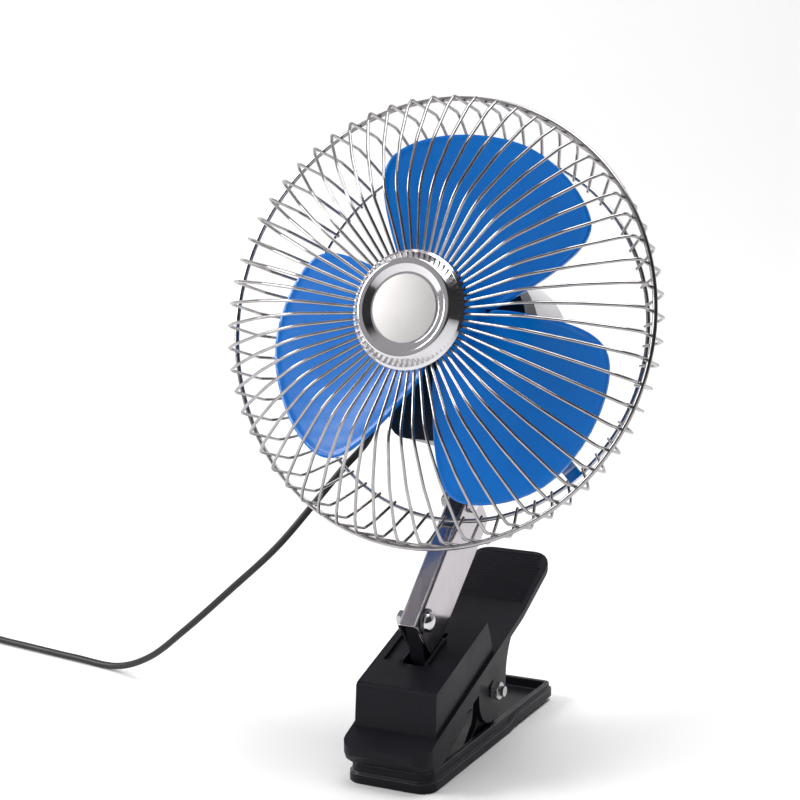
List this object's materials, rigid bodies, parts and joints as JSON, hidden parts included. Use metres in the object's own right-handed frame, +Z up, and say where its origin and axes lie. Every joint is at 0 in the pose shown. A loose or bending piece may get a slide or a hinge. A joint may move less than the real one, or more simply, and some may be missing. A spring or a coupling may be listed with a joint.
{
  "type": "clip-on fan",
  "caption": "Clip-on fan: a wire guard round blue blades, a motor in a chrome rear shell, a tilting chrome stem, a spring clamp and a cord with an accessory-socket plug.",
  "frame": {"origin": "on the standing surface, under the middle of the fan without its cord", "axes": "+Z up, -Y the way that the fan blows and faces, +X to the viewer's right when the fan faces the viewer"},
  "size_m": [0.5388, 0.1875, 0.3032],
  "materials": {
    "black_plastic": "satin moulded",
    "black_rubber": "matt",
    "cord_black": "satin PVC sheath",
    "chrome": "bright plated",
    "zinc": "zinc plated",
    "spring_steel": "drawn",
    "motor_steel": "pressed",
    "bronze": "sintered",
    "blue_plastic": "glossy, slightly see-through"
  },
  "bodies": {
    "lower_jaw": {"lower_jaw": "black_plastic", "lower_grip_pad": "black_rubber", "clamp_bolt": "zinc", "clamp_nut": "zinc", "spring_sleeve": "black_plastic", "clamp_spring": "spring_steel", "cord_run": "cord_black", "cord_coil": "cord_black", "cord_end": "cord_black", "plug_body": "black_plastic", "plug_nose": "black_plastic", "plug_contact_1": "zinc", "plug_contact_2": "zinc"},
    "upper_jaw": {"upper_jaw": "black_plastic", "upper_grip_pad": "black_rubber", "stem_screw": "chrome", "stem_washer": "zinc", "stem_nut": "zinc"},
    "stem": {"stem": "chrome", "tilt_screw": "chrome", "tilt_nut": "zinc"},
    "head": {"motor_housing": "black_plastic", "rear_shell": "chrome", "motor_can": "motor_steel", "front_bush": "bronze", "rear_bush": "bronze", "guard_arm_1": "chrome", "guard_arm_2": "chrome", "guard_arm_3": "chrome", "arm_screw_1": "zinc", "arm_screw_2": "zinc", "arm_screw_3": "zinc", "wire_guard": "chrome", "guard_cap": "chrome", "cap_back": "chrome", "cap_screw": "zinc", "switch_bezel": "black_plastic", "cord_gland": "black_rubber", "cord_drop": "cord_black"},
    "rotor": {"fan_rotor": "blue_plastic", "motor_shaft": "spring_steel"},
    "switch_rocker": {"switch_rocker": "black_plastic"},
    "plug_tip": {"plug_tip": "zinc"}
  },
  "joints": [
    {"name": "jaw_hinge", "type": "hinge", "parent": "lower_jaw", "child": "upper_jaw", "pos_m": [0, -0.00171, 0.026], "axis": [-1, 0, 0], "range_deg": [0, 22], "stiffness_Nm_per_rad": 2, "springref_deg": -57.3, "deforming": ["clamp_spring"]},
    {"name": "stem_hinge", "type": "hinge", "parent": "upper_jaw", "child": "stem", "pos_m": [0, -0.04771, 0.07], "axis": [-1, 0, 0], "range_deg": [-45, 8]},
    {"name": "head_tilt", "type": "hinge", "parent": "stem", "child": "head", "pos_m": [0, 0.0024, 0.11402], "axis": [-1, 0, 0], "range_deg": [-2, 40]},
    {"name": "rotor_spin", "type": "hinge", "parent": "head", "child": "rotor", "pos_m": [0, -0.0257, 0.20305], "axis": [0, 0.9578, -0.2874], "continuous": true},
    {"name": "switch_rock", "type": "hinge", "parent": "head", "child": "switch_rocker", "pos_m": [0, 0.02246, 0.14329], "axis": [1, 0, 0], "range_deg": [-18, 0]},
    {"name": "plug_tip_slide", "type": "slide", "parent": "lower_jaw", "child": "plug_tip", "axis": [0.8574, -0.5147, 0], "range_m": [0, 0.0025], "stiffness_N_per_m": 300, "springref_m": -0.002}
  ]
}
